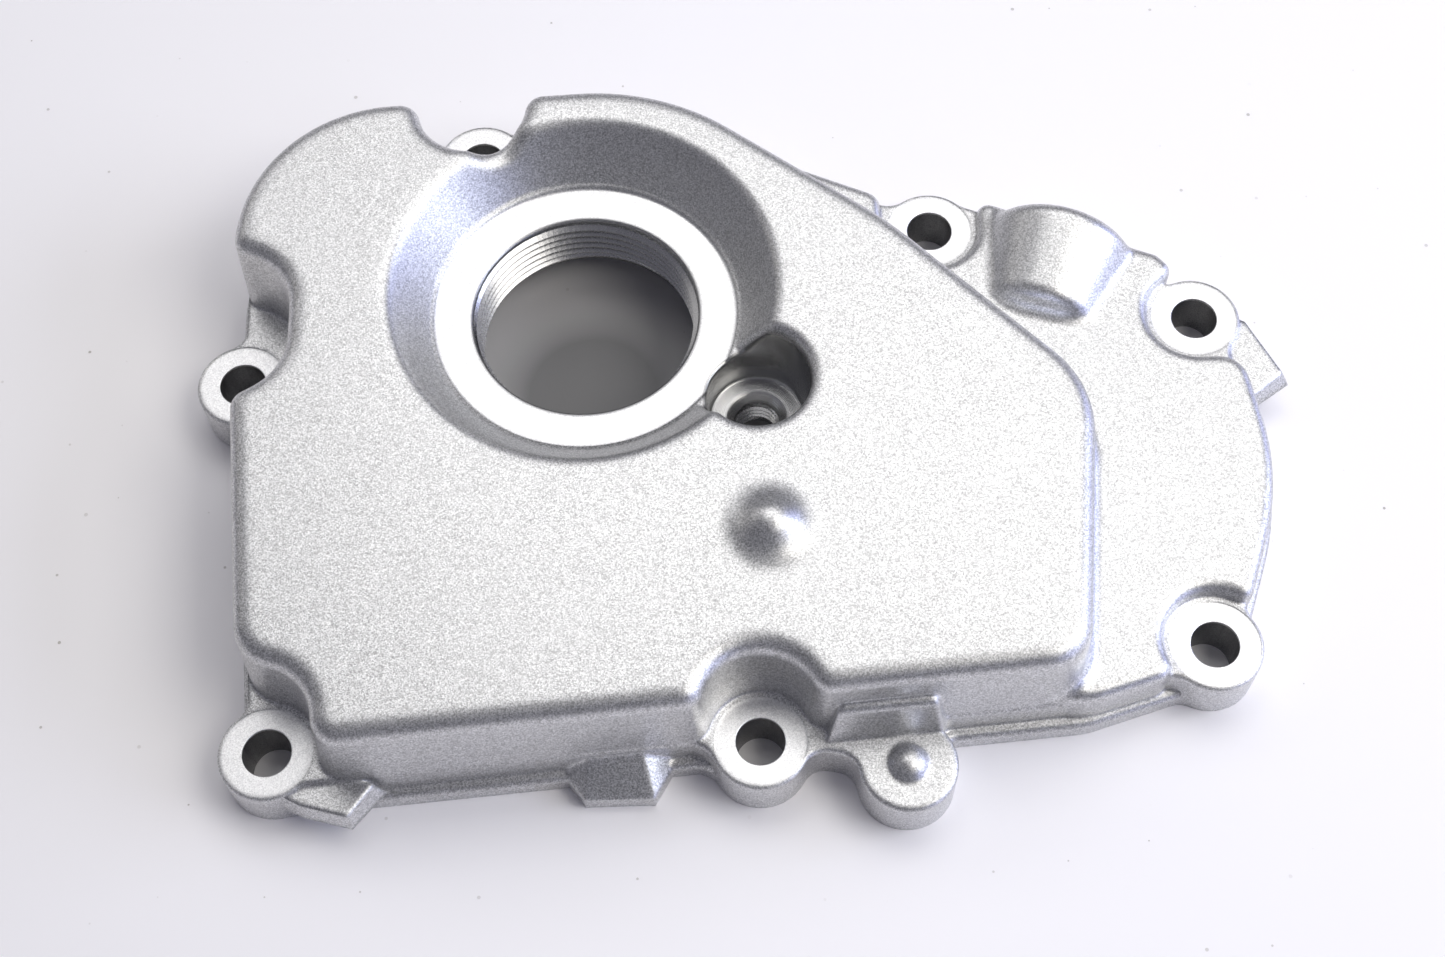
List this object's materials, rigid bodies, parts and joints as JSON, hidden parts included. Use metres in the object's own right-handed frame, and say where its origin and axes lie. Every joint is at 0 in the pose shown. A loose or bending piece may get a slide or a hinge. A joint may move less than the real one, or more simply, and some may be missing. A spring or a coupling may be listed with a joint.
{
  "type": "oil pump cover",
  "caption": "Cast aluminium motorbike oil pump cover: raised dish-mouthed crown with a threaded bore, low side shelf, flange and bolt lugs.",
  "frame": {"origin": "middle of the outline in X and Y, on the gasket plane", "axes": "+X along the long side towards the low shelf, +Z out of the engine, away from the gasket"},
  "size_m": [0.1666, 0.1199, 0.0258],
  "materials": {
    "cast_aluminium": "satin"
  },
  "bodies": {
    "root": {"cover": "cast_aluminium"}
  },
  "joints": []
}
